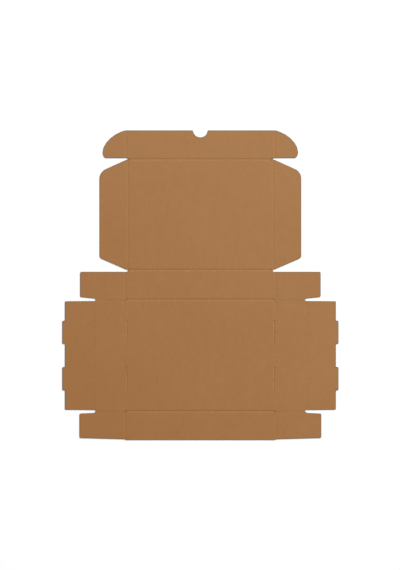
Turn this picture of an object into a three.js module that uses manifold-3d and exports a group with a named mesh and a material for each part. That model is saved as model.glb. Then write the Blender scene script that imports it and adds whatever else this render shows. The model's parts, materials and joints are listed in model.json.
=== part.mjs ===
// A corrugated mailer box, lying flat as it was die-cut, inside face up.
// Nineteen panels meet at creases. The front, rear and side walls stand up from the base, the side
// walls roll over and lock into the base with tabs, and the lid closes with a tuck flap, two ears
// and two dust flaps.
// Millimetres. X runs across the box, +Y towards the lid, +Z up. The origin is the middle of the
// base's underside. Each fold turns about the line where its crease meets the inside face.

import * as THREE from 'three';
import { mergeVertices } from 'three/addons/utils/BufferGeometryUtils.js';
import Module from 'manifold-3d';

const wasm = await Module();
wasm.setup();

// The board and its creases
const BOARD = 1.5;              // thickness of the fine-fluted board
const SLIP = 0.15;              // room between boards that lie face to face in the closed box
const PARTING = 0.3;            // gap between two panels along their crease
const SLIT = 0.3;               // width of a knife cut with no waste
const CREASE_WIDTH = 2.6;       // pressed channel on the inside face
const CREASE_DEPTH = 0.5;       // along the flutes
const CROSS_CREASE_DEPTH = 0.35; // across the flutes, which spring back
const BASE_SIDE_DEPTH = 0.2;    // the lightest crease, at the foot of the side walls

// The base and its walls
const BASE_DEPTH = 203;         // front crease to rear crease
const WALL_LENGTH = 274;        // front and rear wall between their corner creases
const REAR_HEIGHT = 54.2;
const FRONT_HEIGHT = 52.2;
const SIDE_HEIGHT = 54;

// The roll-over side walls, their lock tabs and the slots for them
const END_ROOM = 0.85;          // end of the rolled-over wall to the tucked-in flap
const INNER_TAPER = 0.4;        // the inner wall narrows by this at each end
const INNER_RADIUS = 1.6;
const TAB_REACH = 4.8;
const TAB_LENGTH = 43;          // at its root
const TAB_TAPER = 0.9;          // shorter by this at each end of its tip
const TAB_SPACING = 84.4;       // centre to centre
const TAB_RADIUS = 1;
const TAB_RECESS = 0.3;         // tip above the base's underside once locked
const SLOT_ROOM = 0.2;          // beside the tab
const SLOT_END_ROOM = 0.4;      // past each end of the tab
const SLOT_RADIUS = 0.4;

// The corner flaps of the front and rear walls
const NOTCH_LEAD = 2.2;         // the corner notch opens this far before the roll-over crease
const REAR_FLAP_REACH = 81.8;
const REAR_FLAP_DROP = 3.5;     // top edge below the lid crease
const REAR_FLAP_FOOT = 2.5;     // lower edge off the base crease where the notch opens
const REAR_FLAP_TOE = 5;        // and at the free end
const FRONT_FLAP_REACH = 83;
const FRONT_FLAP_FOOT = 3.2;
const FRONT_FLAP_TOE = 4.3;
const FRONT_FLAP_TRIM = 1.4;    // shorter than the front wall at its root
const FRONT_FLAP_TIP_TRIM = 3.6; // and at the free end
const FLAP_RADIUS = 2.4;

// The lid's dust flaps
const DUST_REACH = 51.4;
const DUST_ROOT_GAP = 0.9;      // clear of the creases at its two ends
const DUST_FRONT_SLOPE = 22.8;  // degrees
const DUST_REAR_SLOPE = 22.3;   // degrees
const DUST_FRONT_RADIUS = 19;
const DUST_REAR_RADIUS = 6.4;

// The tuck flap, its ears and its thumb notch
const TUCK_DEPTH = 52.6;
const THUMB_RADIUS = 13.75;
const THUMB_OUTSIDE = 1;        // centre of the notch beyond the flap's free edge
const EAR_REACH = 42.3;
const EAR_FROM_LID = 2.5;       // lower edge off the lid crease
const EAR_WIDEST = 13.3;        // height of the widest point over the lid crease
const EAR_HEEL = 6;             // length of the rounded heel below it
const EAR_SHOULDER = 0.3;       // the curve starts this far below the free edge
const EAR_BROW_REACH = 19.4;    // the two pulls of the long curve
const EAR_BROW_DROP = 2.4;
const EAR_CHEEK = 17.35;

// Places that follow from the sizes, by the order of the boards in the closed side: outer wall,
// corner flap, ear, inner wall, dust flap
const step = BOARD + SLIP;
const cornerCrease = WALL_LENGTH / 2;
const baseHalf = cornerCrease + step;
const earCrease = cornerCrease - step;
const rollWidth = baseHalf - earCrease + SLIP;
const lidHalf = baseHalf - rollWidth - step - BOARD;
const lidDepth = BASE_DEPTH - step;
const rowHalf = BASE_DEPTH / 2 - step - END_ROOM;
const innerHeight = BOARD + SIDE_HEIGHT - TAB_RECESS - TAB_REACH;
const slotMiddle = baseHalf - rollWidth - BOARD / 2;
const notchStart = baseHalf + SIDE_HEIGHT - NOTCH_LEAD - cornerCrease;
const edge = PARTING / 2;
const cut = SLIT / 2;

// Resolution of the curves, and how far a cutting tool runs past what it cuts
const ARC_STEPS = 6;
const CHANNEL_STEPS = 6;
const OVERRUN = 1;
const MERGE = 1e-4;

// An outline through corners [x, y, radius], with each radius as a true tangent arc
function rounded(corners) {
  const shape = new THREE.Shape();
  corners.forEach(([x, y, radius = 0], i) => {
    const here = new THREE.Vector2(x, y);
    if (radius === 0) {
      shape[i ? 'lineTo' : 'moveTo'](x, y);
      return;
    }
    const before = corners[(i + corners.length - 1) % corners.length];
    const after = corners[(i + 1) % corners.length];
    const back = new THREE.Vector2(before[0] - x, before[1] - y).normalize();
    const on = new THREE.Vector2(after[0] - x, after[1] - y).normalize();
    const half = Math.acos(back.dot(on)) / 2;
    const middle = back.clone().add(on).normalize();
    const centre = here.clone().addScaledVector(middle, radius / Math.sin(half));
    const start = here.clone().addScaledVector(back, radius / Math.tan(half)).sub(centre);
    const end = here.clone().addScaledVector(on, radius / Math.tan(half)).sub(centre);
    const clockwise = start.cross(end) < 0;
    if (i > 0) shape.lineTo(centre.x + start.x, centre.y + start.y);
    shape.absarc(centre.x, centre.y, radius, start.angle(), end.angle(), clockwise);
  });
  return shape;
}

function rectangle(left, bottom, right, top) {
  return rounded([[left, bottom], [right, bottom], [right, top], [left, top]]);
}

// A closed geometry as a solid that can be cut, and back
function toSolid(geometry) {
  const bare = geometry.clone();
  bare.deleteAttribute('normal');
  bare.deleteAttribute('uv');
  const merged = mergeVertices(bare, MERGE);
  return new wasm.Manifold(new wasm.Mesh({
    numProp: 3,
    vertProperties: new Float32Array(merged.attributes.position.array),
    triVerts: new Uint32Array(merged.index.array),
  }));
}

function toGeometry(solid) {
  const { vertProperties, triVerts } = solid.getMesh();
  const shared = new THREE.BufferGeometry();
  shared.setAttribute('position', new THREE.BufferAttribute(vertProperties, 3));
  shared.setIndex(new THREE.BufferAttribute(triVerts, 1));
  const geometry = shared.toNonIndexed();
  geometry.computeVertexNormals();
  return geometry;
}

// The tool that presses one crease: a shallow channel from one end to the other on the inside face
function channelTool([x1, y1], [x2, y2], depth) {
  const along = new THREE.Vector3(x2 - x1, y2 - y1, 0);
  const length = along.length();
  along.normalize();
  const up = new THREE.Vector3(0, 0, 1);
  const across = new THREE.Vector3().crossVectors(up, along);
  const profile = new THREE.Shape();
  profile.moveTo(-CREASE_WIDTH / 2, 0);
  profile.quadraticCurveTo(0, -2 * depth, CREASE_WIDTH / 2, 0);
  profile.lineTo(CREASE_WIDTH / 2, OVERRUN);
  profile.lineTo(-CREASE_WIDTH / 2, OVERRUN);
  const tool = new THREE.ExtrudeGeometry(profile, {
    depth: length, bevelEnabled: false, curveSegments: CHANNEL_STEPS,
  });
  const place = new THREE.Matrix4().makeBasis(across, up, along).setPosition(x1, y1, 0);
  return tool.applyMatrix4(place);
}

// One panel of board: its outline, with holes, is mirrored to its side, given the board's thickness
// below the inside face, and creased. It hangs in a group whose origin lies on its own crease.
function addPanel(parent, name, { at = [0, 0], mirror = [1, 1], outline, creases, tone = 0 }) {
  const flip = ({ x, y }) => new THREE.Vector2(mirror[0] * x, mirror[1] * y);
  const shape = new THREE.Shape(outline.getPoints(ARC_STEPS).map(flip));
  shape.holes = outline.holes.map((hole) => new THREE.Path(hole.getPoints(ARC_STEPS).map(flip)));
  const sheet = new THREE.ExtrudeGeometry(shape, { depth: BOARD, bevelEnabled: false });
  sheet.translate(0, 0, -BOARD);
  let solid = toSolid(sheet);
  for (const [from, to, depth] of creases) {
    const ends = [from, to].map(([x, y]) => [mirror[0] * x, mirror[1] * y]);
    solid = solid.subtract(toSolid(channelTool(...ends, depth)));
  }
  const material = new THREE.MeshStandardMaterial({ roughness: 0.9, metalness: 0 });
  material.color.set(KRAFT).offsetHSL(0, 0, tone);
  const mesh = new THREE.Mesh(toGeometry(solid), material);
  mesh.name = name;
  const group = new THREE.Group();
  group.position.set(...at, 0);
  group.add(mesh);
  parent.add(group);
  return group;
}

const KRAFT = '#a7784c';
const SIDES = [['left', -1], ['right', 1]];
const model = new THREE.Group();
const blank = new THREE.Group();
blank.position.z = BOARD;
model.add(blank);

// Creases that cross a whole panel run off both of its edges
const acrossPanel = (half, y, depth = CREASE_DEPTH) => [
  [-half - OVERRUN, y], [half + OVERRUN, y], depth,
];
const downPanel = (x, low, high, depth = CROSS_CREASE_DEPTH) => [
  [x, low - OVERRUN], [x, high + OVERRUN], depth,
];

// The base, with two slots on each side where the lock tabs of the rolled-over walls go through
function basePanel() {
  const half = BASE_DEPTH / 2;
  const outline = rectangle(-baseHalf + edge, -half + edge, baseHalf - edge, half - edge);
  const slotHalfWidth = BOARD / 2 + SLOT_ROOM;
  const slotHalfLength = TAB_LENGTH / 2 + SLOT_END_ROOM;
  for (const x of [-slotMiddle, slotMiddle]) {
    for (const y of [-TAB_SPACING / 2, TAB_SPACING / 2]) {
      outline.holes.push(rounded([
        [x - slotHalfWidth, y - slotHalfLength, SLOT_RADIUS],
        [x - slotHalfWidth, y + slotHalfLength, SLOT_RADIUS],
        [x + slotHalfWidth, y + slotHalfLength, SLOT_RADIUS],
        [x + slotHalfWidth, y - slotHalfLength, SLOT_RADIUS],
      ]));
    }
  }
  return {
    outline,
    creases: [
      [[-cornerCrease, -half], [cornerCrease, -half], CREASE_DEPTH],
      [[-cornerCrease, half], [cornerCrease, half], CREASE_DEPTH],
      downPanel(-baseHalf, -half, half, BASE_SIDE_DEPTH),
      downPanel(baseHalf, -half, half, BASE_SIDE_DEPTH),
    ],
  };
}

// The front wall, between its two corner flaps
function frontWall() {
  return {
    outline: rectangle(-cornerCrease + edge, edge, cornerCrease - edge, FRONT_HEIGHT),
    creases: [
      acrossPanel(cornerCrease, 0),
      downPanel(-cornerCrease, 0, FRONT_HEIGHT),
      downPanel(cornerCrease, 0, FRONT_HEIGHT),
    ],
  };
}

// The rear wall, whose top steps down at both ends, outside the narrower lid
function rearWall() {
  const right = cornerCrease - edge;
  const shoulder = REAR_HEIGHT - REAR_FLAP_DROP;
  const top = REAR_HEIGHT - edge;
  return {
    outline: rounded([
      [-right, edge], [right, edge], [right, shoulder], [lidHalf, shoulder], [lidHalf, top],
      [-lidHalf, top], [-lidHalf, shoulder], [-right, shoulder],
    ]),
    creases: [
      acrossPanel(cornerCrease, 0),
      acrossPanel(lidHalf, REAR_HEIGHT),
      downPanel(-cornerCrease, 0, shoulder),
      downPanel(cornerCrease, 0, shoulder),
    ],
  };
}

// A corner flap runs beside the side wall along a knife cut, up to the notch at the rolled edge
function cornerFlap({ reach, foot, toe, rootTop, tipTop }) {
  return {
    outline: rounded([
      [edge, cut], [notchStart, cut], [notchStart + foot, foot],
      [reach, toe, FLAP_RADIUS], [reach, tipTop, FLAP_RADIUS], [edge, rootTop],
    ]),
    creases: [downPanel(0, 0, rootTop)],
  };
}

// The outer side wall narrows just before its roll-over crease
function outerSideWall() {
  const half = BASE_DEPTH / 2 - cut;
  const neck = SIDE_HEIGHT - NOTCH_LEAD;
  return {
    outline: rounded([
      [edge, -half], [neck, -half], [SIDE_HEIGHT - edge, -rowHalf],
      [SIDE_HEIGHT - edge, rowHalf], [neck, half], [edge, half],
    ]),
    creases: [
      downPanel(0, -half, half, BASE_SIDE_DEPTH),
      downPanel(SIDE_HEIGHT, -half, half),
    ],
  };
}

// The narrow strip between the two roll-over creases, which caps the folded side wall
function rollOverStrip() {
  return {
    outline: rectangle(edge, -rowHalf, rollWidth - edge, rowHalf),
    creases: [downPanel(0, -rowHalf, rowHalf), downPanel(rollWidth, -rowHalf, rowHalf)],
  };
}

// The inner side wall, with two lock tabs along its free edge
function innerSideWall() {
  const endHalf = rowHalf - INNER_TAPER;
  const tip = innerHeight + TAB_REACH;
  const tab = (middle) => [
    [innerHeight, middle - TAB_LENGTH / 2],
    [tip, middle - TAB_LENGTH / 2 + TAB_TAPER, TAB_RADIUS],
    [tip, middle + TAB_LENGTH / 2 - TAB_TAPER, TAB_RADIUS],
    [innerHeight, middle + TAB_LENGTH / 2],
  ];
  return {
    outline: rounded([
      [edge, -rowHalf], [innerHeight, -endHalf, INNER_RADIUS],
      ...tab(-TAB_SPACING / 2), ...tab(TAB_SPACING / 2),
      [innerHeight, endHalf, INNER_RADIUS], [edge, rowHalf],
    ]),
    creases: [downPanel(0, -rowHalf, rowHalf)],
  };
}

// The lid, as deep as the base less the tuck flap that goes down inside the front wall
function lidPanel() {
  return {
    outline: rectangle(-lidHalf + edge, edge, lidHalf - edge, lidDepth - edge),
    creases: [
      acrossPanel(lidHalf, 0),
      acrossPanel(lidHalf, lidDepth),
      downPanel(-lidHalf, 0, lidDepth),
      downPanel(lidHalf, 0, lidDepth),
    ],
  };
}

// A dust flap, with sloping ends and a larger radius at the front corner
function dustFlap() {
  const slope = (degrees) => DUST_REACH * Math.tan(THREE.MathUtils.degToRad(degrees));
  const front = lidDepth - DUST_ROOT_GAP;
  return {
    outline: rounded([
      [edge, DUST_ROOT_GAP],
      [DUST_REACH, DUST_ROOT_GAP + slope(DUST_REAR_SLOPE), DUST_REAR_RADIUS],
      [DUST_REACH, front - slope(DUST_FRONT_SLOPE), DUST_FRONT_RADIUS],
      [edge, front],
    ]),
    creases: [downPanel(0, DUST_ROOT_GAP, front)],
  };
}

// The tuck flap, wider than the lid by its two shoulders, with the thumb notch in its free edge
function tuckFlap() {
  const right = earCrease - edge;
  const outline = rounded([
    [-right, TUCK_DEPTH], [-right, EAR_FROM_LID], [-lidHalf, EAR_FROM_LID], [-lidHalf, edge],
    [lidHalf, edge], [lidHalf, EAR_FROM_LID], [right, EAR_FROM_LID], [right, TUCK_DEPTH],
  ]);
  const dip = Math.asin(THUMB_OUTSIDE / THUMB_RADIUS);
  outline.absarc(0, TUCK_DEPTH + THUMB_OUTSIDE, THUMB_RADIUS, -dip, -Math.PI + dip, true);
  return {
    outline,
    creases: [
      acrossPanel(lidHalf, 0),
      downPanel(-earCrease, EAR_FROM_LID, TUCK_DEPTH),
      downPanel(earCrease, EAR_FROM_LID, TUCK_DEPTH),
    ],
  };
}

// An ear of the tuck flap: a short rounded heel, then one long curve up to the free edge
function tuckEar() {
  const shoulder = TUCK_DEPTH - EAR_SHOULDER;
  const outline = new THREE.Shape();
  outline.moveTo(edge, EAR_FROM_LID);
  outline.lineTo(EAR_REACH - EAR_HEEL, EAR_FROM_LID);
  outline.absellipse(
    EAR_REACH - EAR_HEEL, EAR_WIDEST, EAR_HEEL, EAR_WIDEST - EAR_FROM_LID, -Math.PI / 2, 0,
  );
  outline.bezierCurveTo(
    EAR_REACH, EAR_WIDEST + EAR_CHEEK, EAR_BROW_REACH, shoulder - EAR_BROW_DROP, edge, shoulder,
  );
  return { outline, creases: [downPanel(0, EAR_FROM_LID, shoulder)] };
}

addPanel(blank, 'base_panel', basePanel());

const front = addPanel(blank, 'front_wall', {
  ...frontWall(), at: [0, -BASE_DEPTH / 2], mirror: [1, -1],
});
const rear = addPanel(blank, 'rear_wall', { ...rearWall(), at: [0, BASE_DEPTH / 2] });
const lid = addPanel(rear, 'lid_panel', { ...lidPanel(), at: [0, REAR_HEIGHT] });
const tuck = addPanel(lid, 'tuck_flap', { ...tuckFlap(), at: [0, lidDepth] });

for (const [side, sign] of SIDES) {
  const outer = addPanel(blank, `${side}_outer_wall`, {
    ...outerSideWall(), at: [sign * baseHalf, 0], mirror: [sign, 1],
  });
  const strip = addPanel(outer, `${side}_roll_strip`, {
    ...rollOverStrip(), at: [sign * SIDE_HEIGHT, 0], mirror: [sign, 1],
  });
  addPanel(strip, `${side}_inner_wall`, {
    ...innerSideWall(), at: [sign * rollWidth, 0], mirror: [sign, 1],
  });
  addPanel(front, `front_${side}_corner_flap`, {
    ...cornerFlap({
      reach: FRONT_FLAP_REACH, foot: FRONT_FLAP_FOOT, toe: FRONT_FLAP_TOE,
      rootTop: FRONT_HEIGHT - FRONT_FLAP_TRIM, tipTop: FRONT_HEIGHT - FRONT_FLAP_TIP_TRIM,
    }),
    at: [sign * cornerCrease, 0],
    mirror: [sign, -1],
  });
  addPanel(rear, `rear_${side}_corner_flap`, {
    ...cornerFlap({
      reach: REAR_FLAP_REACH, foot: REAR_FLAP_FOOT, toe: REAR_FLAP_TOE,
      rootTop: REAR_HEIGHT - REAR_FLAP_DROP, tipTop: REAR_HEIGHT - REAR_FLAP_DROP,
    }),
    at: [sign * cornerCrease, 0],
    mirror: [sign, 1],
  });
  addPanel(lid, `${side}_dust_flap`, {
    ...dustFlap(), at: [sign * lidHalf, 0], mirror: [sign, 1],
  });
  addPanel(tuck, `${side}_tuck_ear`, {
    ...tuckEar(), at: [sign * earCrease, 0], mirror: [sign, 1],
  });
}

export default model;
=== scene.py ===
# %% [markdown]
# # A shipping box of corrugated board, lying flat
#
# The real object is one sheet of brown board. A die has cut its outline and pressed a crease between
# each two panels, so it folds into a box with a lid. Here it lies open with its inside face up.
#
# Two things make such a sheet look real. Board is a sandwich, with a wavy paper between two flat ones,
# and that shows along every cut edge. A crease is a pressed channel, and light catches its two banks.
# So each panel is made as two liners with the waves between them, and each crease as a strip.

# %% Load the frame
import json

import bmesh
import bpy
import numpy as np
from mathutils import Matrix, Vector
from mathutils.geometry import delaunay_2d_cdt

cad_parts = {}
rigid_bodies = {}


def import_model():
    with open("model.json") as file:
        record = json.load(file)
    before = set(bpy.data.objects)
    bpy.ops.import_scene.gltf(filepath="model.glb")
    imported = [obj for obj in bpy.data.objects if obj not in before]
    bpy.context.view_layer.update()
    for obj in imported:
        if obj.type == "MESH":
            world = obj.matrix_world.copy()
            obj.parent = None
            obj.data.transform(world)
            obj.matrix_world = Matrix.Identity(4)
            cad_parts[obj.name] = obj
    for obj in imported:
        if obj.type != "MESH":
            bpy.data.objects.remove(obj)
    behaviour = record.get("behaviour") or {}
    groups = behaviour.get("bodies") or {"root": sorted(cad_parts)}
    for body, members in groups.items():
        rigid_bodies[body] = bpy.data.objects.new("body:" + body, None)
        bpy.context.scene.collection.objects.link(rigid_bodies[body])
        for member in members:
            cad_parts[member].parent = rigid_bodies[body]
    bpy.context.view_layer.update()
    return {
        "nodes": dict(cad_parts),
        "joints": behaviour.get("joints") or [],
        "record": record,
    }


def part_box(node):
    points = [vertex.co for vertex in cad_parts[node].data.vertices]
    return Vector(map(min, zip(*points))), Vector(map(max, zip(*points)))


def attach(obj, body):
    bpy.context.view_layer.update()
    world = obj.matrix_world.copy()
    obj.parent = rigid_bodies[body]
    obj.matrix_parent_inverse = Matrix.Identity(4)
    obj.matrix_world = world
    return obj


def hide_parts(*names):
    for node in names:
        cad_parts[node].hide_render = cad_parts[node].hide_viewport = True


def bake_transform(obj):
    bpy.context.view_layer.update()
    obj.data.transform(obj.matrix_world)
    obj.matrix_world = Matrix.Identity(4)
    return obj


for leftover in list(bpy.data.objects):
    bpy.data.objects.remove(leftover)

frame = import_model()
joints = frame["joints"]
print(f"{len(frame['nodes'])} panels and {len(joints)} creases")

# %% [markdown]
# ## The sizes of the board
#
# The thickness comes from the frame. The rest are what thin mailer board has: paper liners of a fifth
# of a millimetre, and waves about 3.3 mm long. The waves run from side to side, so they are seen end on
# at the left and right edges and as a plain wall at the front and rear edges. The die crushes a rim of
# about a millimetre along each cut.

# %% Sizes in metres
MM = 0.001
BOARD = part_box("base_panel")[1].z
LINER = 0.2 * MM
WAVE_PAPER = 0.15 * MM
WAVE_LENGTH = 3.3 * MM
RIM = 0.9 * MM
SAME_POINT = 0.001 * MM
print(f"board {BOARD / MM:.2f} mm thick, with waves {WAVE_LENGTH / MM:.1f} mm long")

# %% [markdown]
# ## Reading a panel's underside
#
# The plain panel in the frame has a flat underside that carries its true outline, holes included. The
# outline could be typed in again, but then two versions could drift apart. So it is read from the frame,
# and the triangles of the underside come first.


# %% Triangles of the underside
def underside_triangles(node):
    """The (T, 3, 2) corners of the triangles whose three corners all lie at height zero."""
    mesh = frame["nodes"][node].data
    points = np.zeros(len(mesh.vertices) * 3)
    corners = np.zeros(len(mesh.loops), int)
    mesh.vertices.foreach_get("co", points)
    mesh.loops.foreach_get("vertex_index", corners)
    triangles = points.reshape(-1, 3)[corners].reshape(-1, 3, 3)
    return triangles[triangles[:, :, 2].max(axis=1) < SAME_POINT][:, :, :2]


print(len(underside_triangles("base_panel")), "triangles under the base")

# %% [markdown]
# ## Putting an outline's points in order
#
# Each point of an outline leads on to a next one. Walking from one to the next would take a loop over
# all of them. Instead, every point asks for the point that it leads to, then for that one's, so the
# reach doubles each time. Twelve doublings reach past 4,000 points, more than any outline here has, and
# they count the steps of all points at once.

# %% Ordered loops
DOUBLINGS = 12


def ordered_loops(follower):
    """Splits a list of followers into closed loops, each in order.
    A loop's lowest index is its first point, and a point's rank is how many steps lead on to it."""
    index = np.arange(len(follower))
    first, jump = index.copy(), follower.copy()
    for _ in range(DOUBLINGS):
        first = np.minimum(first, first[jump])
        jump = jump[jump]
    is_first = first == index
    steps = np.where(is_first, 0, 1)
    jump = np.where(is_first, index, follower)
    for _ in range(DOUBLINGS):
        steps = steps + steps[jump]
        jump = jump[jump]
    rank = np.where(is_first, len(index), steps)
    loops = [index[first == start] for start in index[is_first]]
    return [loop[np.argsort(-rank[loop])] for loop in loops if len(loop) > 2]


print("in order:", ordered_loops(np.array([2, 3, 1, 0]))[0])

# %% [markdown]
# ## The outlines
#
# An edge that only one underside triangle uses lies on the outline. A drawing program would simplify
# the result by eye. Here a point goes if the line between its neighbours already passes through it, so
# that each straight edge keeps just its two ends.

# %% Outlines
ON_LINE = 0.2 * SAME_POINT


def without_idle_points(loop):
    """Drops each point that repeats the one before it or lies on the line between its neighbours. Its
    distance from that line is the cross product of its two edges over the line's length."""
    loop = loop[np.linalg.norm(loop - np.roll(loop, 1, axis=0), axis=1) > SAME_POINT]
    before = loop - np.roll(loop, 1, axis=0)
    after = np.roll(loop, -1, axis=0) - loop
    cross = before[:, 0] * after[:, 1] - before[:, 1] * after[:, 0]
    return loop[np.abs(cross) > ON_LINE * np.linalg.norm(before + after, axis=1)]


def outline(node):
    """The panel's loops, the outer one anticlockwise and the holes clockwise, seen from above."""
    corners = np.round(underside_triangles(node) / SAME_POINT).astype(int)
    points, index = np.unique(corners.reshape(-1, 2), axis=0, return_inverse=True)
    index = index.reshape(-1, 3)
    start, end = index.ravel(), np.roll(index, -1, axis=1).ravel()
    size = len(points)
    alone = ~np.isin(start * size + end, end * size + start)
    follower = np.arange(size)
    follower[end[alone]] = start[alone]
    return [without_idle_points(points[loop] * SAME_POINT) for loop in ordered_loops(follower)]


outlines = {node: outline(node) for node in sorted(frame["nodes"])}
print({node: [len(loop) for loop in loops] for node, loops in outlines.items()})

# %% [markdown]
# ## Hinge lines
#
# A crease lies along its joint's hinge line, and half of its press mark falls on each panel. One width
# for all would be simplest, but the base's side creases have slots close beside them, and the narrow
# strips that the side walls roll over have no room for a wide mark. So these have narrower ones.

# %% Hinges
CREASE_HALF = 2.8 * MM
SIDE_CREASE_HALF = 1.8 * MM
ROLL_CREASE_HALF = 1.2 * MM


def hinge(joint):
    """Which axis crosses the hinge line, 0 for x and 1 for y, and where the line lies on it."""
    across = 1 if abs(joint["axis"][0]) > abs(joint["axis"][1]) else 0
    return across, joint["pos_m"][across]


def crease_half(joint):
    """Half the width of the press mark of a joint's crease."""
    if "roll_strip" in joint["parent"] + joint["child"]:
        return ROLL_CREASE_HALF
    return SIDE_CREASE_HALF if "outer_wall" in joint["child"] else CREASE_HALF


def side_of(node, across, line):
    """1 if the panel lies past the hinge line, and -1 if it lies before it."""
    low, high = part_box(node)
    return 1 if (low[across] + high[across]) / 2 > line else -1


print("half widths in mm:", sorted({round(crease_half(joint) / MM, 1) for joint in joints}))

# %% [markdown]
# ## Leaving room for the creases
#
# Each panel stops where its crease begins. Cutting the outline with a plane would work. Holding each
# point back at that line does the same here, because no panel passes its own hinge lines. A crease
# reaches as far along the hinge as its panels do, and the two panels may differ.
#
# Long edges then get points every few millimetres, so that what is stored in a point, such as how bare
# the cut lies, can change along an edge.

# %% Room for the creases
POINT_SPACING = 5 * MM


def with_more_points(loop):
    """Splits each edge into equal parts no longer than the point spacing."""
    edge = np.roll(loop, -1, axis=0) - loop
    parts = np.ceil(np.linalg.norm(edge, axis=1) / POINT_SPACING).astype(int)
    owner = np.repeat(np.arange(len(loop)), parts)
    place = np.arange(len(owner)) - np.repeat(np.cumsum(parts) - parts, parts)
    return loop[owner] + edge[owner] * (place / parts[owner])[:, None]


def held_back(node):
    """The loops with each point kept at least half a crease's width from every hinge line, and for
    each loop whether the edge that starts at a point lies along a crease."""
    mine = [(*hinge(joint), crease_half(joint)) for joint in joints
            if node in (joint["parent"], joint["child"])]
    loops, creased = [], []
    for loop in outlines[node]:
        moved = loop.copy()
        for across, line, half in mine:
            side = side_of(node, across, line)
            moved[:, across] = side * np.maximum(side * moved[:, across], side * line + half)
        moved = with_more_points(without_idle_points(moved))
        along = np.zeros(len(moved), bool)
        for across, line, half in mine:
            limit = line + side_of(node, across, line) * half
            there = np.abs(moved[:, across] - limit) < SAME_POINT
            along |= there & np.roll(there, -1)
        loops.append(moved)
        creased.append(along)
    return loops, creased


panels = {node: held_back(node) for node in outlines}
print(sum(len(loop) for loops, _ in panels.values() for loop in loops), "points on all outlines")

# %% [markdown]
# ## Helpers for loops
#
# Most of what follows looks at a panel's edges: how near one lies, where one crosses a row, and which
# point comes next. Each question is asked of all edges at once, as columns of one array. A loop over
# edges would read more simply, but takes far longer.


# %% Loop helpers
def edge_ends(loops):
    """The points where the edges of the loops start, and those where they end."""
    return np.concatenate(loops), np.concatenate([np.roll(loop, -1, axis=0) for loop in loops])


def followers(loops):
    """For each point of the joined loops, the index of the next point of its own loop."""
    sizes = [len(loop) for loop in loops]
    starts = np.cumsum([0] + sizes[:-1])
    return np.concatenate([start + (np.arange(size) + 1) % size for start, size in zip(starts, sizes)])


def crossings(loops, levels):
    """Which edges cross each level of y, and the x where they do. An edge crosses a level if its ends
    lie on different sides of it, at the x in proportion."""
    start, end = edge_ends(loops)
    level = levels[:, None]
    crosses = (start[:, 1] <= level) != (end[:, 1] <= level)
    rise = np.where(end[:, 1] == start[:, 1], 1.0, end[:, 1] - start[:, 1])
    x = start[:, 0] + (level - start[:, 1]) / rise * (end[:, 0] - start[:, 0])
    return crosses, x


def is_outer(loop):
    """Whether a loop runs anticlockwise, by the sign of the sum of x dy - y dx along it."""
    follow = np.roll(loop, -1, axis=0)
    return bool((loop[:, 0] * follow[:, 1] - loop[:, 1] * follow[:, 0]).sum() > 0)


print("loops of the base that are holes:", sum(not is_outer(loop) for loop in panels["base_panel"][0]))

# %% [markdown]
# ## Putting arrays into a mesh
#
# A piece is worked out as arrays of points and faces. Blender could also build it from primitives and
# modifiers, but arrays give each point its exact place. Two grids that lie one above the other make a
# closed slab: the upper grid, the lower grid turned over, and a wall round the rim of both.


# %% Mesh helpers
def new_piece(name, points, faces):
    """A mesh object at the origin from an (N, 3) array and lists of corner indices."""
    mesh = bpy.data.meshes.new(name)
    mesh.from_pydata(points.tolist(), [], faces)
    mesh.update()
    piece = bpy.data.objects.new(name, mesh)
    bpy.context.scene.collection.objects.link(piece)
    return piece


def set_edge_shade(piece, values):
    """Stores, for each point, how near it is to a cut edge: 1 on the edge and 0 inside the panel."""
    store = piece.data.attributes.new("rim", "FLOAT", "POINT")
    store.data.foreach_set("value", np.ascontiguousarray(values, dtype=np.float32))


def slab(upper, lower):
    """Points and faces of the closed body between two (rows, columns, 3) grids.
    Each cell gives a face above and one below, and each rim edge gives a wall."""
    rows, columns = upper.shape[:2]
    index = np.arange(rows * columns).reshape(rows, columns)
    cell = np.stack([index[:-1, :-1], index[:-1, 1:], index[1:, 1:], index[1:, :-1]], -1).reshape(-1, 4)
    rim = np.concatenate([index[0, :-1], index[:-1, -1], index[-1, :0:-1], index[:0:-1, 0]])
    follow = np.roll(rim, -1)
    below = rows * columns
    wall = np.stack([rim + below, follow + below, follow, rim], -1)
    faces = np.concatenate([cell, cell[:, ::-1] + below, wall])
    return np.concatenate([upper.reshape(-1, 3), lower.reshape(-1, 3)]), faces


def joined(parts):
    """Several (points, faces) pairs as one, with each pair's indices moved on."""
    starts = np.cumsum([0] + [len(points) for points, _ in parts[:-1]])
    points = np.concatenate([points for points, _ in parts])
    faces = np.concatenate([faces + start for (_, faces), start in zip(parts, starts)])
    return points, faces


print("a slab of one cell has", len(slab(np.zeros((2, 2, 3)), np.zeros((2, 2, 3)))[1]), "faces")

# %% [markdown]
# ## Building blocks for a material
#
# A material is a graph of nodes. Wiring each node by hand repeats the same few lines, so small helpers
# make a material, make a node, and feed a socket with a number, a colour or another node's output.


# %% Material helpers
def shader(name):
    """A new material with its node tree and its own surface shader."""
    material = bpy.data.materials.new(name)
    material.use_nodes = True
    tree = material.node_tree
    return material, tree, tree.nodes["Principled BSDF"]


def add(tree, kind, **settings):
    """A new node with its settings."""
    made = tree.nodes.new(kind)
    for key, value in settings.items():
        setattr(made, key, value)
    return made


def feed(tree, value, socket):
    """Sets a socket to a number or a colour of three numbers, or links another node's output to it."""
    if isinstance(value, (int, float)):
        socket.default_value = value
    elif isinstance(value, tuple):
        socket.default_value = (*value, 1.0)
    else:
        tree.links.new(value, socket)


# %% [markdown]
# ## Steps of a pattern
#
# A pattern in paper is built from a few steps: cloudy noise, a change of its range, a sum or a product,
# and a mix of two colours. Each step makes one kind of node and hands on its output, so a whole pattern
# can be written like a formula. The colour sockets of a mix node have no name of their own among those
# for numbers and vectors, so they are taken by their place.

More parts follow.
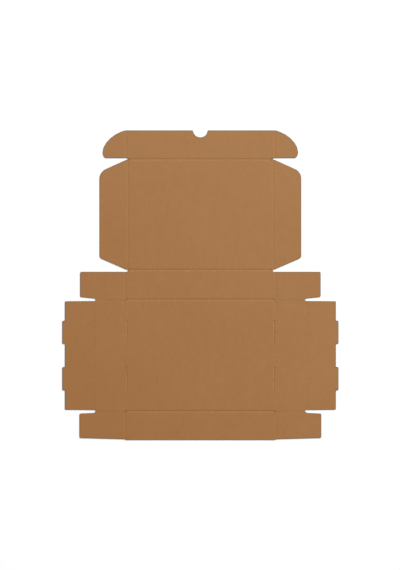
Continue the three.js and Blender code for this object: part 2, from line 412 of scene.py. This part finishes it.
# %% Pattern steps
COLOUR_A, COLOUR_B, COLOUR_RESULT = 6, 7, 2


def noise(tree, where, scale, detail, stretch=(1.0, 1.0, 1.0)):
    """Cloudy noise from 0 to 1 on Object coordinates, which are first multiplied by the stretch."""
    mapping = add(tree, "ShaderNodeMapping")
    mapping.inputs["Scale"].default_value = stretch
    cloud = add(tree, "ShaderNodeTexNoise")
    feed(tree, scale, cloud.inputs["Scale"])
    feed(tree, detail, cloud.inputs["Detail"])
    feed(tree, where, mapping.inputs["Vector"])
    feed(tree, mapping.outputs["Vector"], cloud.inputs["Vector"])
    return cloud.outputs["Fac"]


def spread(tree, value, low, high, start, stop):
    """Maps start to low and stop to high, and holds the value beyond them."""
    change = add(tree, "ShaderNodeMapRange")
    for name, given in (("Value", value), ("From Min", start), ("From Max", stop),
                        ("To Min", low), ("To Max", high)):
        feed(tree, given, change.inputs[name])
    return change.outputs["Result"]


def combine(tree, operation, first, second):
    """One number from two, by adding or multiplying."""
    step = add(tree, "ShaderNodeMath", operation=operation)
    feed(tree, first, step.inputs[0])
    feed(tree, second, step.inputs[1])
    return step.outputs["Value"]


def mixed(tree, amount, first, second, blend_type="MIX"):
    """A colour between two, by the amount."""
    mix = add(tree, "ShaderNodeMix", data_type="RGBA", blend_type=blend_type)
    feed(tree, amount, mix.inputs["Factor"])
    feed(tree, first, mix.inputs[COLOUR_A])
    feed(tree, second, mix.inputs[COLOUR_B])
    return mix.outputs[COLOUR_RESULT]


# %% [markdown]
# ## The kraft paper
#
# Kraft board is matt and brown, with a faint cloudiness from the pulp, short fibres that mostly run
# one way, a few dark specks, and very low ridges where the waves press through the liner. A picture of
# paper would do for one view, but a pattern made by formulas has no seams and stays sharp. It reads
# Object coordinates, so it runs on across the creases from panel to panel.
#
# Where the die has cut, the paper is crushed, and the colour darkens towards the cut, partly the dark cut
# itself and partly painted shade along the edge. The attribute named rim says how near the cut is.
#
# The numbers of each noise are its cells in a metre, its finer detail and its stretch. Each range gives
# its lowest and highest result, and then the values between which the result climbs.

# %% Numbers of the paper
KRAFT = tuple(frame["record"]["materials"][0]["base_color"][:3])
# Ends of the climb: painted light brightens the lamp's side, and clouds of real tone mix them too.
KRAFT_PALE_AND_LIT = tuple(value * grow for value, grow in zip(KRAFT, (1.07, 1.09, 1.15)))
KRAFT_DEEP_AND_SHADED = tuple(value * shrink for value, shrink in zip(KRAFT, (0.98, 0.92, 0.86)))
# The dark of bare cut edges: partly the cut's own colour, partly painted shade along the edge.
CUT_EDGE_SHADE = (0.12, 0.07, 0.036)
SPECK = (0.2, 0.105, 0.045)

CLOUDS = (7.0, 2.0)
MOTTLE = (60.0, 5.0)
FIBRES = (420.0, 6.0, (1.0, 0.22, 1.0))
FLECKS = (1700.0, 1.0, (1.0, 0.4, 1.0))

# The climb runs towards the lamp at the upper right, so it is painted light.
PAINTED_LIGHT_DIRECTION = (0.6, 0.8, 0.0)
PAINTED_LIGHT_RANGE = (0.0, 1.0, -0.2, 0.36)
CLOUD_RANGE = (-0.15, 0.15, 0.3, 0.7)
MOTTLE_RANGE = (0.975, 1.025, 0.25, 0.75)
FIBRE_RANGE = (0.96, 1.04, 0.2, 0.8)
FLECK_RANGE = (0.0, 0.35, 0.68, 0.8)
EDGE_SHADE_RANGE = (0.0, 1.0, 0.0, 0.45)
ROUGH_RANGE = (0.84, 0.96, 0.3, 0.7)
SHEEN = 0.12

RIDGE_SCALE = 2 * np.pi / 20 / WAVE_LENGTH
RIDGE_SHARE = 0.5
BUMP_STRENGTH = 0.25
BUMP_HEIGHT = 0.04 * MM
print("kraft", [round(value, 3) for value in KRAFT])


# %% Kraft materials
def paper_colour(tree, where, mottle, fibre, tone):
    """One kraft tone climbs to the other towards the upper right, painted light brighter on the lamp's
    side, with broad clouds of real tone in the change. That is multiplied by mottling, fibres and the
    tone, and then specks and the painted shade along bare cut edges are laid over it."""
    # Painted light: the sheet grows brighter towards the lamp.
    climb = add(tree, "ShaderNodeVectorMath", operation="DOT_PRODUCT")
    climb.inputs[1].default_value = PAINTED_LIGHT_DIRECTION
    feed(tree, where, climb.inputs[0])
    place = combine(tree, "ADD", spread(tree, climb.outputs["Value"], *PAINTED_LIGHT_RANGE),
                    spread(tree, noise(tree, where, *CLOUDS), *CLOUD_RANGE))
    shade = combine(tree, "MULTIPLY", spread(tree, mottle, *MOTTLE_RANGE),
                    spread(tree, fibre, *FIBRE_RANGE))
    shade = combine(tree, "MULTIPLY", shade, tone)
    grey = add(tree, "ShaderNodeCombineColor")
    for channel in grey.inputs:
        feed(tree, shade, channel)
    paper = mixed(tree, place, KRAFT_DEEP_AND_SHADED, KRAFT_PALE_AND_LIT)
    paper = mixed(tree, 1.0, paper, grey.outputs["Color"], "MULTIPLY")
    paper = mixed(tree, spread(tree, noise(tree, where, *FLECKS), *FLECK_RANGE), paper, SPECK)
    # Painted shade: the colour darkens towards bare cut edges, on top of the cut's own dark.
    rim = add(tree, "ShaderNodeAttribute", attribute_name="rim").outputs["Fac"]
    return mixed(tree, spread(tree, rim, *EDGE_SHADE_RANGE), paper, CUT_EDGE_SHADE)


def kraft_material(name, tone):
    """Paper with its colour, a roughness that follows the mottling, and a bump that is the fibres plus
    a share of the low ridges."""
    material, tree, surface = shader(name)
    where = add(tree, "ShaderNodeTexCoord").outputs["Object"]
    mottle = noise(tree, where, *MOTTLE)
    fibre = noise(tree, where, *FIBRES)
    ridge = add(tree, "ShaderNodeTexWave", wave_type="BANDS", bands_direction="Y")
    feed(tree, RIDGE_SCALE, ridge.inputs["Scale"])
    feed(tree, where, ridge.inputs["Vector"])
    bump = add(tree, "ShaderNodeBump")
    feed(tree, BUMP_STRENGTH, bump.inputs["Strength"])
    feed(tree, BUMP_HEIGHT, bump.inputs["Distance"])
    low_ridge = combine(tree, "MULTIPLY", ridge.outputs["Fac"], RIDGE_SHARE)
    feed(tree, combine(tree, "ADD", low_ridge, fibre), bump.inputs["Height"])
    feed(tree, bump.outputs["Normal"], surface.inputs["Normal"])
    feed(tree, paper_colour(tree, where, mottle, fibre, tone), surface.inputs["Base Color"])
    feed(tree, spread(tree, mottle, *ROUGH_RANGE), surface.inputs["Roughness"])
    feed(tree, SHEEN, surface.inputs["Specular IOR Level"])
    return material


liner_kraft = kraft_material("kraft_liner", 1.0)
wave_kraft = kraft_material("kraft_wave_paper", 0.8)
# Painted light: a paler kraft on the lower liner's top lifts the shade inside the base's slots.
slot_light_kraft = kraft_material("kraft_glue_side", 1.7)
print("nodes in the liner's paper:", len(liner_kraft.node_tree.nodes))

# %% [markdown]
# ## Moving an outline inwards
#
# A liner is a flat sheet, so a thin extrusion of the outline would be near. A die leaves the edge a
# little crushed, though, and that soft edge catches the light. So the liner's side is a profile that is
# carried round the outline: in from the edge and down at it. Along a crease the profile stays upright,
# because nothing is cut there.
#
# To move a corner inwards, its two edges are each moved by their own distance, and the corner goes to
# where the moved edges meet. If that would turn a short edge round, its two corners move less.

# %% Insets
NEARLY_STRAIGHT = 0.9999
SHARPEST = -0.9
SHRINK = 0.6
SHRINKS = 6


def edge_inset(loop, creased, distance):
    """The loop moved inwards by a distance at cut edges and not at all along creases.
    With unit inward normals m and n of the edges before and after a corner, and c their dot product,
    the corner moves by ((a - c b) m + (b - c a) n) / (1 - c c), for distances a before and b after."""
    edge = np.roll(loop, -1, axis=0) - loop
    length = np.linalg.norm(edge, axis=1, keepdims=True)
    after = np.stack([-edge[:, 1], edge[:, 0]], -1) / length
    before = np.roll(after, 1, axis=0)
    b = np.where(creased, 0.0, distance)
    a = np.roll(b, 1)
    c = np.clip((before * after).sum(axis=1), SHARPEST, 1.0)
    straight = c > NEARLY_STRAIGHT
    below = np.where(straight, 1.0, 1 - c * c)
    move = ((a - c * b) / below)[:, None] * before + ((b - c * a) / below)[:, None] * after
    move = np.where(straight[:, None], ((a + b) / 2)[:, None] * after, move)
    share = np.ones(len(loop))
    for _ in range(SHRINKS):
        moved = loop + move * share[:, None]
        turned = ((np.roll(moved, -1, axis=0) - moved) * edge).sum(axis=1) < 0
        share = np.where(turned | np.roll(turned, 1), share * SHRINK, share)
    return loop + move * share[:, None]


tuck_loop, tuck_creased = (part[0] for part in panels["tuck_flap"])
tuck_inset = edge_inset(tuck_loop, tuck_creased, RIM)
print(f"the tuck flap's rim starts {(tuck_loop[:, 1].max() - tuck_inset[:, 1].max()) / MM:.2f} mm in")

# %% [markdown]
# ## How bare a cut lies
#
# A cut that faces open ground shows its crushed edge with a dark rim of painted shade. In a slit the two
# sides hide each other, and a dark rim there would draw a line that the real sheet doesn't have. Painting
# the rim by hand would have to be redone for each panel, so the distance to the next panel decides.

# %% Bare cuts
SLIT_GAP = 0.5 * MM
OPEN_GAP = 2.0 * MM


def bareness(own, points):
    """How bare a cut lies at each point: 0 in a slit and 1 beside an open gap, by the distance to the
    nearest edge of a panel that isn't one of its own."""
    start, end = edge_ends([loop for node, loops in outlines.items() if node not in own for loop in loops])
    edge = end - start
    offset = points[:, None, :] - start
    share = np.clip((offset * edge).sum(axis=2) / (edge * edge).sum(axis=1), 0, 1)
    gap = np.linalg.norm(offset - share[:, :, None] * edge, axis=2).min(axis=1)
    return np.clip((gap - SLIT_GAP) / (OPEN_GAP - SLIT_GAP), 0, 1)


print(f"bare share of the tuck flap's edge: {bareness(('tuck_flap',), tuck_loop).mean():.2f}")

# %% [markdown]
# ## Filling an outline
#
# A liner's face has the panel's outline and its holes. One face of many corners can't have holes, so
# the face is cut into triangles that keep every outline edge. The triangles also cover the holes, and
# those whose middle isn't inside the panel are dropped.

# %% Flat caps
INSIDE_OUTLINES = 1
CAP_TOLERANCE = 0.1 * SAME_POINT


def inside(loops, places):
    """Whether each place lies in the panel: a ray from it towards +x crosses the loops an odd number
    of times."""
    crosses, x = crossings(loops, places[:, 1])
    return (crosses & (x > places[:, :1])).sum(axis=1) % 2 == 1


def flat_cap(loops):
    """Triangles that fill the outer loop and leave the holes open."""
    points = np.concatenate(loops)
    edges = np.stack([np.arange(len(points)), followers(loops)], -1)
    found, _, faces, *_ = delaunay_2d_cdt(points.tolist(), edges.tolist(), [], INSIDE_OUTLINES,
                                          CAP_TOLERANCE)
    if len(found) != len(points):
        raise ValueError(f"the outline crosses itself: {len(found)} points for {len(points)}")
    triangles = np.array(faces)
    return triangles[inside(loops, points[triangles].mean(axis=1))]


print("triangles in the base's cap:", len(flat_cap(panels["base_panel"][0])))

# %% [markdown]
# ## The two liners of a panel
#
# Each liner's profile goes from the middle of its upper face round the edge to the middle of its lower
# face. A row of it is the inset from the cut, the height, and the share of the crush there. The caps
# close it above and below.
#
# No floor shows through the slots in the base. Their waste goes when the box is folded, so here the
# lower liner still runs on behind them, thin enough to leave room for the lock tabs. The faces at the
# lower liner's top get a paler kraft, painted light that lifts the shade in the slots, so they stay faint.

# %% Profiles
CRUSH = 0.1 * MM
SOFT_INSET = 0.35 * MM
STEEP_INSET = 0.1 * MM
UNDER_INSET = 0.08 * MM
EDGE_DROP = 0.05 * MM
UPPER_PROFILE = ((RIM, BOARD, 0.0), (SOFT_INSET, BOARD, 0.1), (STEEP_INSET, BOARD, 0.6),
                 (0.0, BOARD - EDGE_DROP, 1.0), (0.0, BOARD - LINER, 0.7), (RIM, BOARD - LINER, 0.0))
LOWER_PROFILE = ((RIM, LINER, 0.0), (0.0, LINER, -0.2), (0.0, EDGE_DROP, 0.0), (UNDER_INSET, 0.0, 0.0),
                 (RIM, 0.0, 0.0))


def carried(node, loops, creased, profile, cap):
    """Points, faces and rim values of the body that a profile of (inset, height, crush) sweeps round
    the loops, closed with the cap's triangles on its first and last ring. The rim values set painted
    shade along bare cut edges. A slot is cut by a thin blade, and its edge gets no dark rim."""
    cut = np.concatenate([~(along & np.roll(along, 1)) for along in creased])
    outer = np.concatenate([np.full(len(loop), is_outer(loop)) for loop in loops])
    bare = bareness((node,), np.concatenate(loops)) * outer * cut
    rings, edge_shade_rings = [], []
    for inset, height, crush in profile:
        flat = np.concatenate([edge_inset(loop, along, inset) for loop, along in zip(loops, creased)])
        rings.append(np.column_stack([flat, height - CRUSH * crush * cut]))
        edge_shade_rings.append(bare * (1 - inset / RIM))
    count = len(cut)
    here, follow = np.arange(count), followers(loops)
    steps = (np.arange(len(profile) - 1) * count)[:, None]
    wall = np.stack([here + steps, here + steps + count, follow + steps + count, follow + steps], -1)
    last = (len(profile) - 1) * count
    faces = wall.reshape(-1, 4).tolist() + cap.tolist() + (cap[:, ::-1] + last).tolist()
    return np.concatenate(rings), faces, np.concatenate(edge_shade_rings)


def liner(node, loops, creased, profile):
    """One closed liner: its profile carried round the loops, capped above and below."""
    cap = flat_cap([edge_inset(loop, along, RIM) for loop, along in zip(loops, creased)])
    return carried(node, loops, creased, profile, cap)


print(f"liners {LINER / MM:.2f} mm thick, crushed by {CRUSH / MM:.2f} mm at the cut")

# %% [markdown]
# ## Building the liners
#
# Along a crease all rows of the profile fall on one upright line, which leaves faces without an area
# there. Merging the points that fall together removes them. Leaving them in would show nothing, but a
# mesh without them is sound wherever it goes next.

# %% Liners
MERGE_DISTANCE = 0.2 * SAME_POINT
NO_LENGTH = 0.1 * SAME_POINT


def merge_doubles(piece):
    """Merges points that fall together, which removes the flat faces along a crease."""
    work = bmesh.new()
    work.from_mesh(piece.data)
    bmesh.ops.remove_doubles(work, verts=work.verts, dist=MERGE_DISTANCE)
    bmesh.ops.dissolve_degenerate(work, dist=NO_LENGTH, edges=work.edges)
    work.to_mesh(piece.data)
    work.free()


def paint_liners(liners):
    """Puts kraft on a pair of liners, and a paler kraft, painted light that lifts the shade in the slots,
    on the faces at the lower liner's top.
    """
    liners.data.materials.append(liner_kraft)
    liners.data.materials.append(slot_light_kraft)
    centres = np.zeros(len(liners.data.polygons) * 3)
    liners.data.polygons.foreach_get("center", centres)
    # Painted light: these faces get the paler kraft that lifts the shade in the slots.
    painted_slot_light = np.abs(centres[2::3] - LINER) < SAME_POINT
    liners.data.polygons.foreach_set("material_index", painted_slot_light.astype(np.int32))


for node, (loops, creased) in panels.items():
    outer = [number for number, loop in enumerate(loops) if is_outer(loop)]
    top = liner(node, loops, creased, UPPER_PROFILE)
    bottom = liner(node, [loops[number] for number in outer], [creased[number] for number in outer],
                   LOWER_PROFILE)
    shift = len(top[0])
    faces = top[1] + [[corner + shift for corner in face] for face in bottom[1]]
    liners = new_piece(f"{node}_liners", np.concatenate([top[0], bottom[0]]), faces)
    set_edge_shade(liners, np.concatenate([top[2], bottom[2]]))
    merge_doubles(liners)
    paint_liners(liners)
    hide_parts(node)
    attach(liners, node)
print("liners on", len(panels), "panels")

# %% [markdown]
# ## The wavy paper between the liners
#
# The wave is a surface of two parameters: along the wave's direction the height is a sine, and from
# side to side it doesn't change. A fine grid over the whole panel would do, at the cost of many
# points. Each row across the panel needs only its two ends, where the row meets the outline. Rows with
# the same number of stretches are gathered into ribbons, because a row that passes a hole has one more
# stretch than its neighbours.

# %% Waves
ROWS_PER_WAVE = 8
WAVE_INSET = 0.35 * MM
WAVE_MIDDLE = BOARD / 2
WAVE_SWING = (BOARD - 2 * LINER - WAVE_PAPER) / 2
FEWEST_ROWS = 3


def wave_ribbon(rows, left, right):
    """A closed ribbon whose height is the middle plus the swing times the sine of the row's place, and
    whose paper keeps its thickness on the slopes by the root of one plus the slope squared."""
    turn = 2 * np.pi * rows / WAVE_LENGTH
    height = WAVE_MIDDLE + WAVE_SWING * np.sin(turn)
    slope = WAVE_SWING * 2 * np.pi / WAVE_LENGTH * np.cos(turn)
    half = WAVE_PAPER / 2 * np.sqrt(1 + slope * slope)
    x = np.stack([left, right], -1)
    y = np.repeat(rows[:, None], 2, axis=1)
    levels = np.minimum(height + half, BOARD - LINER), np.maximum(height - half, LINER)
    return slab(*[np.dstack([x, y, np.repeat(level[:, None], 2, axis=1)]) for level in levels])


def waves_of(loops):
    """The ribbons that fill a panel, a little in from its edges."""
    points = np.concatenate(loops)
    spacing = WAVE_LENGTH / ROWS_PER_WAVE
    low, high = points[:, 1].min() + WAVE_INSET, points[:, 1].max() - WAVE_INSET
    rows = np.arange(np.ceil(low / spacing), np.floor(high / spacing) + 1) * spacing
    crosses, x = crossings(loops, rows)
    x, count = np.sort(np.where(crosses, x, np.inf), axis=1), crosses.sum(axis=1)
    parts = []
    for group in np.split(np.arange(len(rows)), np.flatnonzero(np.diff(count)) + 1):
        for stretch in range(int(count[group[0]]) // 2):
            left = x[group, 2 * stretch] + WAVE_INSET
            right = x[group, 2 * stretch + 1] - WAVE_INSET
            if len(group) >= FEWEST_ROWS and (right - left).min() > WAVE_PAPER:
                parts.append(wave_ribbon(rows[group], left, right))
    return joined(parts)


for node, (loops, _) in panels.items():
    points, faces = waves_of(loops)
    waves = new_piece(f"{node}_waves", points, faces.tolist())
    waves.data.materials.append(wave_kraft)
    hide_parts(node)
    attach(waves, node)
    print(node, "waves:", len(faces), "faces")

# %% [markdown]
# ## The creases
#
# A crease is a channel pressed into the inside face, and the board bends there. Rather than a bump in
# the material, which could draw the channel, each crease is a strip of its own, as wide as the press
# mark.
#
# A strip's two halves end where their own panels end, so no gap opens at the corners. A short lead at
# each end, as long as the crushed rim, carries the painted shade of the dark edge.

# %% Where a strip's points lie
HINGE_GAP = 0.2 * MM
ACROSS_CELLS = 20
ALONG_SPACING = 5 * MM
FEWEST_CELLS = 8
STEP_HALF = 0.1 * MM


def reach_along(node, across, line, half):
    """The lowest and highest place along the hinge line of the panel's edge there. Where two creases
    cross, the one from side to side stops at the other, so it takes the held back outline."""
    points = np.concatenate(panels[node][0] if across == 1 else outlines[node])
    room = half if across == 1 else HINGE_GAP
    near = points[np.abs(points[:, across] - line) < room + SAME_POINT]
    return near[:, 1 - across].min(), near[:, 1 - across].max()


def panels_beside(joint):
    """The panel before the hinge line and the panel past it."""
    pair = (joint["parent"], joint["child"])
    return pair if side_of(joint["parent"], *hinge(joint)) < 0 else pair[::-1]


def strip_plan(joint):
    """The (rows, columns, 2) places of a strip's points, with its share across in each column, from -1
    to 1, and its share along in each row, from 0 to 1. The step at the hinge line, between the ends of
    one panel and those of the other, is a climb over a tenth of a millimetre on each side."""
    across, line = hinge(joint)
    half = crease_half(joint)
    before, after = (reach_along(node, across, line, half) for node in panels_beside(joint))
    step = STEP_HALF / half
    share = np.unique(np.append(np.linspace(-1, 1, ACROSS_CELLS + 1), (-step, step)))
    past = np.clip((share / step + 1) / 2, 0, 1)
    start = before[0] + (after[0] - before[0]) * past
    stop = before[1] + (after[1] - before[1]) * past
    cells = max(FEWEST_CELLS, int((stop - start).max() / ALONG_SPACING))
    inner = np.linspace(0, 1, cells + 1)
    lead = RIM / (stop - start).min()
    part = np.unique(np.concatenate([inner[(inner > lead) & (inner < 1 - lead)], (0, lead, 1 - lead, 1)]))
    along = start + part[:, None] * (stop - start)
    beside = np.broadcast_to(line + share * half, along.shape)
    flat = np.dstack([beside, along] if across == 0 else [along, beside])
    return flat, share, part


lid_joint = next(joint for joint in joints if joint["child"] == "lid_panel")
print("rows and columns of the lid's crease:", strip_plan(lid_joint)[0].shape[:2])

# %% [markdown]
# ## The press mark
#
# Across a strip the height falls and rises again as a cosine, and along it the depth wanders a little,
# as pressed paper does. A straight groove of one depth would be simpler, but looks machined. A crease
# across the waves has to crush them all at once, so it presses less deep than one that runs along them.
#
# The underside is pressed in a little too, because a folded strip bulges outwards, and the next wall
# lies close to it.

# %% Creases
CREASE_ALONG_WAVES = 0.72 * MM
CREASE_ACROSS_WAVES = 0.34 * MM
CREASE_OF_SIDE_WALLS = 0.2 * MM
UNDER_CREASE = 0.25 * MM
WANDER = 0.12
WANDER_LENGTHS = (0.011, 0.027, 0.06)


def crease_depth(joint):
    """Creases across the waves press less deep, and the narrow ones of the side walls least of all."""
    if crease_half(joint) < CREASE_HALF:
        return CREASE_OF_SIDE_WALLS
    return CREASE_ALONG_WAVES if hinge(joint)[0] == 1 else CREASE_ACROSS_WAVES


def wandering(draw, along):
    """A number near 1 for each place along a crease: 1 plus a share of the mean of three sines."""
    phases = draw.uniform(0, 2 * np.pi, len(WANDER_LENGTHS))
    waves = [np.sin(along / length + phase) for length, phase in zip(WANDER_LENGTHS, phases)]
    return 1 + WANDER * sum(waves) / len(waves)


def crease_strip(joint, draw):
    """Upper and lower grids of a strip, and the rim values: the top lies below the board's face by the
    depth times (1 + cos(pi s)) / 2, where s runs from -1 to 1 across the strip. The channel runs out
    through an open end, and rises to nothing at an end that meets another panel."""
    flat, share, part = strip_plan(joint)
    length = (flat[-1] - flat[0]).max()
    bare = bareness(panels_beside(joint), flat.reshape(-1, 2)).reshape(flat.shape[:2])
    at_end = ((part == 0) | (part == 1))[:, None]
    depth = crease_depth(joint) * wandering(draw, part * length)[:, None] * (1 - at_end * (1 - bare))
    top = BOARD - depth * (1 + np.cos(np.pi * share)) / 2
    bottom = np.broadcast_to(UNDER_CREASE * (1 - share * share), top.shape)
    return np.dstack([flat, top]), np.dstack([flat, bottom]), at_end * bare


draw = np.random.default_rng(7)
for joint in joints:
    upper, lower, rim = crease_strip(joint, draw)
    across, line = hinge(joint)
    ends = np.full((2, 3), BOARD)
    ends[:, across] = (line - crease_half(joint), line + crease_half(joint))
    ends[:, 1 - across] = upper[0, 0, 1 - across]
    if across == 1:
        upper, lower, rim = upper[:, ::-1], lower[:, ::-1], rim[:, ::-1]
    points, faces = slab(upper, lower)
    crease = new_piece(joint["name"].replace("_fold", "_crease"), points, faces.tolist())
    # The rim values give painted edge shade at the strip's open ends.
    set_edge_shade(crease, np.tile(rim.ravel(), 2))
    crease.data.materials.append(liner_kraft)
    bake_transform(crease)
print(len(joints), "creases")

# %% [markdown]
# ## The floor
#
# The blank lies on white paper. A plane with a white material is enough, but light that reaches it from
# the side leaves it a little grey. So it is slightly brighter to the camera than its own light makes it.
# It reads as plain white, and the shadows under the board's edges still show.

# %% Floor
FLOOR_HALF = 6.0
FLOOR_DROP = 0.05 * MM
FLOOR_GLOW = 0.11
WHITE = (1.0, 1.0, 1.0)

floor_corners = np.array([(-1, -1), (1, -1), (1, 1), (-1, 1)]) * FLOOR_HALF
floor_mesh = bpy.data.meshes.new("floor")
floor_mesh.from_pydata([(x, y, -FLOOR_DROP) for x, y in floor_corners.tolist()], [], [(0, 1, 2, 3)])
floor = bpy.data.objects.new("floor", floor_mesh)
bpy.context.scene.collection.objects.link(floor)
floor_material, floor_tree, floor_surface = shader("white_floor")
feed(floor_tree, WHITE, floor_surface.inputs["Base Color"])
feed(floor_tree, 1.0, floor_surface.inputs["Roughness"])
feed(floor_tree, 0.0, floor_surface.inputs["Specular IOR Level"])
feed(floor_tree, WHITE, floor_surface.inputs["Emission Color"])
light_path = add(floor_tree, "ShaderNodeLightPath")
feed(floor_tree, combine(floor_tree, "MULTIPLY", light_path.outputs["Is Camera Ray"], FLOOR_GLOW),
     floor_surface.inputs["Emission Strength"])
floor_mesh.materials.append(floor_material)
print(f"floor {2 * FLOOR_HALF:.0f} m wide, {FLOOR_DROP / MM:.2f} mm under the board")

# %% [markdown]
# ## The light
#
# A soft light comes from the upper right. A lamp high over the board would wash the creases out, so it
# stands well to the side, where each crease shows one dark bank and one light one. An even world fills
# the shadows.

# %% Light
WORLD_LEVEL = 0.44
LAMP_WATTS = 700.0
LAMP_SIZE = 3.6
LAMP_PLACE = (4.4, 5.6, 6.4)
SHEET_MIDDLE = (0.0, 0.128, 0.0)

world = bpy.data.worlds.new("even_light")
world.use_nodes = True
background = world.node_tree.nodes["Background"]
feed(world.node_tree, WHITE, background.inputs["Color"])
feed(world.node_tree, WORLD_LEVEL, background.inputs["Strength"])
bpy.context.scene.world = world

lamp_data = bpy.data.lights.new("key_lamp", "AREA")
lamp_data.shape = "DISK"
lamp_data.size = LAMP_SIZE
lamp_data.energy = LAMP_WATTS
lamp = bpy.data.objects.new("key_lamp", lamp_data)
bpy.context.scene.collection.objects.link(lamp)
lamp.location = LAMP_PLACE
toward = Vector(SHEET_MIDDLE) - Vector(LAMP_PLACE)
lamp.rotation_euler = toward.to_track_quat("-Z", "Y").to_euler()
print(f"lamp {toward.length:.1f} m from the sheet")

# %% [markdown]
# ## The camera
#
# The blank is seen from straight above. An orthographic camera would show no depth at all, so this one
# has a lens and stands 4 m away, where the edges hardly lean. The lens follows from the size that one
# pixel of the picture has on the board.

# %% Camera
PIXEL = 1.82 * MM
PICTURE_ROWS = 570
CAMERA_DISTANCE = 4.0
SENSOR = 24.0
MIDDLE_X, MIDDLE_Y = -0.73 * MM, 128.3 * MM

camera_data = bpy.data.cameras.new("camera")
camera_data.sensor_fit = "VERTICAL"
camera_data.sensor_height = SENSOR
camera_data.lens = SENSOR * CAMERA_DISTANCE / (PICTURE_ROWS * PIXEL)
camera = bpy.data.objects.new("camera", camera_data)
bpy.context.scene.collection.objects.link(camera)
camera.location = (MIDDLE_X, MIDDLE_Y, BOARD + CAMERA_DISTANCE)
bpy.context.scene.camera = camera
bpy.context.scene.view_settings.view_transform = "Standard"
print(f"lens {camera_data.lens:.1f} mm")
